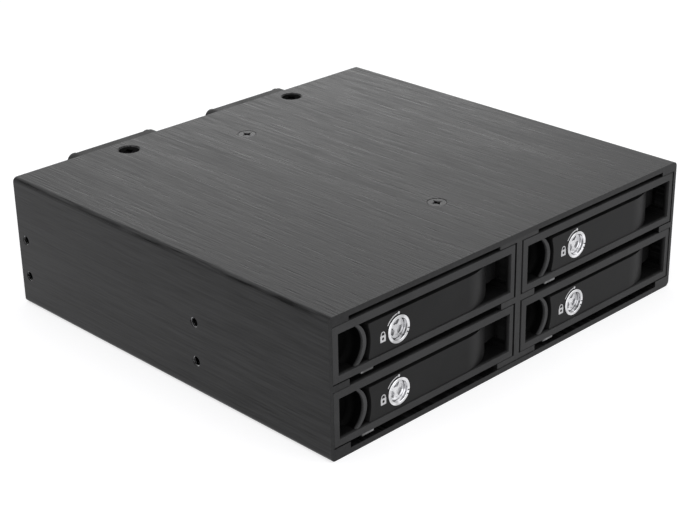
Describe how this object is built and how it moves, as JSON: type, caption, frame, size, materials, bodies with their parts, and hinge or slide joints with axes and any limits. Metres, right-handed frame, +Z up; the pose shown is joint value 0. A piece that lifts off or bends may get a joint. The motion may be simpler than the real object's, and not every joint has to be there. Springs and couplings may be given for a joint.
{
  "type": "hot swap drive cage",
  "caption": "Metal cage for a 5.25 inch bay, with locking slide-out trays for 2.5 inch drives, a backplane board with rear connectors, and exhaust fans.",
  "frame": {"origin": "middle of the housing's underside, which is the base mount", "axes": "+Z up, +Y from the trays' fronts to the fans, +X to the right seen from the front"},
  "size_m": [0.146, 0.1476, 0.0413],
  "materials": {
    "housing_black": "black anodised, brushed front to back",
    "divider_black": "black anodised, satin",
    "screw_black": "black oxide",
    "plate_black": "fine textured black powder coat",
    "board_green": "green solder mask",
    "connector_black": "moulded, matte",
    "brass_standoff": "turned",
    "screw_steel": "zinc plated",
    "led_lens": "clear lamp",
    "fan_black": "moulded, matte",
    "rotor_black": "moulded, satin",
    "bezel_black": "moulded, fine grain",
    "carrier_steel": "zinc plated sheet",
    "lever_black": "moulded, fine grain",
    "pin_steel": "ground",
    "button_black": "moulded, satin",
    "spring_steel": "bright strip",
    "lock_chrome": "polished chrome",
    "plug_chrome": "satin chrome",
    "pipe_clear": "clear moulded strip"
  },
  "bodies": {
    "housing": {"housing_shell": "housing_black", "center_divider": "divider_black", "divider_screws": "screw_black", "back_plate": "plate_black", "back_plate_screws": "screw_black", "backplane_board": "board_green", "drive_receptacles": "connector_black", "data_connectors": "connector_black", "power_connectors": "connector_black", "board_standoffs": "brass_standoff", "board_screws": "screw_steel", "status_leds": "led_lens", "fan_frame_left": "fan_black", "fan_frame_right": "fan_black", "fan_screws": "screw_steel"},
    "fan_wheel_left": {"fan_rotor_left": "rotor_black"},
    "fan_wheel_right": {"fan_rotor_right": "rotor_black"},
    "tray_lower_left": {"bezel_lower_left": "bezel_black", "carrier_lower_left": "carrier_steel", "bezel_screws_lower_left": "screw_steel", "lever_pin_lower_left": "pin_steel", "button_spring_lower_left": "spring_steel", "light_pipe_lower_left": "pipe_clear"},
    "swing_lever_lower_left": {"lever_lower_left": "lever_black", "lock_barrel_lower_left": "lock_chrome"},
    "push_button_lower_left": {"release_button_lower_left": "button_black"},
    "key_plug_lower_left": {"lock_plug_lower_left": "plug_chrome"},
    "tray_lower_right": {"bezel_lower_right": "bezel_black", "carrier_lower_right": "carrier_steel", "bezel_screws_lower_right": "screw_steel", "lever_pin_lower_right": "pin_steel", "button_spring_lower_right": "spring_steel", "light_pipe_lower_right": "pipe_clear"},
    "swing_lever_lower_right": {"lever_lower_right": "lever_black", "lock_barrel_lower_right": "lock_chrome"},
    "push_button_lower_right": {"release_button_lower_right": "button_black"},
    "key_plug_lower_right": {"lock_plug_lower_right": "plug_chrome"},
    "tray_upper_left": {"bezel_upper_left": "bezel_black", "carrier_upper_left": "carrier_steel", "bezel_screws_upper_left": "screw_steel", "lever_pin_upper_left": "pin_steel", "button_spring_upper_left": "spring_steel", "light_pipe_upper_left": "pipe_clear"},
    "swing_lever_upper_left": {"lever_upper_left": "lever_black", "lock_barrel_upper_left": "lock_chrome"},
    "push_button_upper_left": {"release_button_upper_left": "button_black"},
    "key_plug_upper_left": {"lock_plug_upper_left": "plug_chrome"},
    "tray_upper_right": {"bezel_upper_right": "bezel_black", "carrier_upper_right": "carrier_steel", "bezel_screws_upper_right": "screw_steel", "lever_pin_upper_right": "pin_steel", "button_spring_upper_right": "spring_steel", "light_pipe_upper_right": "pipe_clear"},
    "swing_lever_upper_right": {"lever_upper_right": "lever_black", "lock_barrel_upper_right": "lock_chrome"},
    "push_button_upper_right": {"release_button_upper_right": "button_black"},
    "key_plug_upper_right": {"lock_plug_upper_right": "plug_chrome"}
  },
  "joints": [
    {"name": "fan_spin_left", "type": "hinge", "parent": "housing", "child": "fan_wheel_left", "pos_m": [-0.0283, 0.073, 0.02065], "axis": [0, 1, 0], "continuous": true},
    {"name": "fan_spin_right", "type": "hinge", "parent": "housing", "child": "fan_wheel_right", "pos_m": [0.0283, 0.073, 0.02065], "axis": [0, 1, 0], "continuous": true},
    {"name": "tray_slide_lower_left", "type": "slide", "parent": "housing", "child": "tray_lower_left", "axis": [0, -1, 0], "range_m": [0, 0.125]},
    {"name": "lever_swing_lower_left", "type": "hinge", "parent": "tray_lower_left", "child": "swing_lever_lower_left", "pos_m": [-0.0103, -0.0618, 0.0109], "axis": [0, 0, 1], "range_deg": [0, 60]},
    {"name": "button_press_lower_left", "type": "slide", "parent": "tray_lower_left", "child": "push_button_lower_left", "axis": [0, 1, 0], "range_m": [0, 0.0015], "stiffness_N_per_m": 400, "springref_m": -0.001, "deforming": ["button_spring_lower_left"]},
    {"name": "lock_turn_lower_left", "type": "hinge", "parent": "swing_lever_lower_left", "child": "key_plug_lower_left", "pos_m": [-0.0475, -0.0628, 0.0106], "axis": [0, 1, 0], "range_deg": [0, 90]},
    {"name": "tray_slide_lower_right", "type": "slide", "parent": "housing", "child": "tray_lower_right", "axis": [0, -1, 0], "range_m": [0, 0.125]},
    {"name": "lever_swing_lower_right", "type": "hinge", "parent": "tray_lower_right", "child": "swing_lever_lower_right", "pos_m": [0.0631, -0.0618, 0.0109], "axis": [0, 0, 1], "range_deg": [0, 60]},
    {"name": "button_press_lower_right", "type": "slide", "parent": "tray_lower_right", "child": "push_button_lower_right", "axis": [0, 1, 0], "range_m": [0, 0.0015], "stiffness_N_per_m": 400, "springref_m": -0.001, "deforming": ["button_spring_lower_right"]},
    {"name": "lock_turn_lower_right", "type": "hinge", "parent": "swing_lever_lower_right", "child": "key_plug_lower_right", "pos_m": [0.0259, -0.0628, 0.0106], "axis": [0, 1, 0], "range_deg": [0, 90]},
    {"name": "tray_slide_upper_left", "type": "slide", "parent": "housing", "child": "tray_upper_left", "axis": [0, -1, 0], "range_m": [0, 0.125]},
    {"name": "lever_swing_upper_left", "type": "hinge", "parent": "tray_upper_left", "child": "swing_lever_upper_left", "pos_m": [-0.0103, -0.0618, 0.0293], "axis": [0, 0, 1], "range_deg": [0, 60]},
    {"name": "button_press_upper_left", "type": "slide", "parent": "tray_upper_left", "child": "push_button_upper_left", "axis": [0, 1, 0], "range_m": [0, 0.0015], "stiffness_N_per_m": 400, "springref_m": -0.001, "deforming": ["button_spring_upper_left"]},
    {"name": "lock_turn_upper_left", "type": "hinge", "parent": "swing_lever_upper_left", "child": "key_plug_upper_left", "pos_m": [-0.0475, -0.0628, 0.029], "axis": [0, 1, 0], "range_deg": [0, 90]},
    {"name": "tray_slide_upper_right", "type": "slide", "parent": "housing", "child": "tray_upper_right", "axis": [0, -1, 0], "range_m": [0, 0.125]},
    {"name": "lever_swing_upper_right", "type": "hinge", "parent": "tray_upper_right", "child": "swing_lever_upper_right", "pos_m": [0.0631, -0.0618, 0.0293], "axis": [0, 0, 1], "range_deg": [0, 60]},
    {"name": "button_press_upper_right", "type": "slide", "parent": "tray_upper_right", "child": "push_button_upper_right", "axis": [0, 1, 0], "range_m": [0, 0.0015], "stiffness_N_per_m": 400, "springref_m": -0.001, "deforming": ["button_spring_upper_right"]},
    {"name": "lock_turn_upper_right", "type": "hinge", "parent": "swing_lever_upper_right", "child": "key_plug_upper_right", "pos_m": [0.0259, -0.0628, 0.029], "axis": [0, 1, 0], "range_deg": [0, 90]}
  ]
}
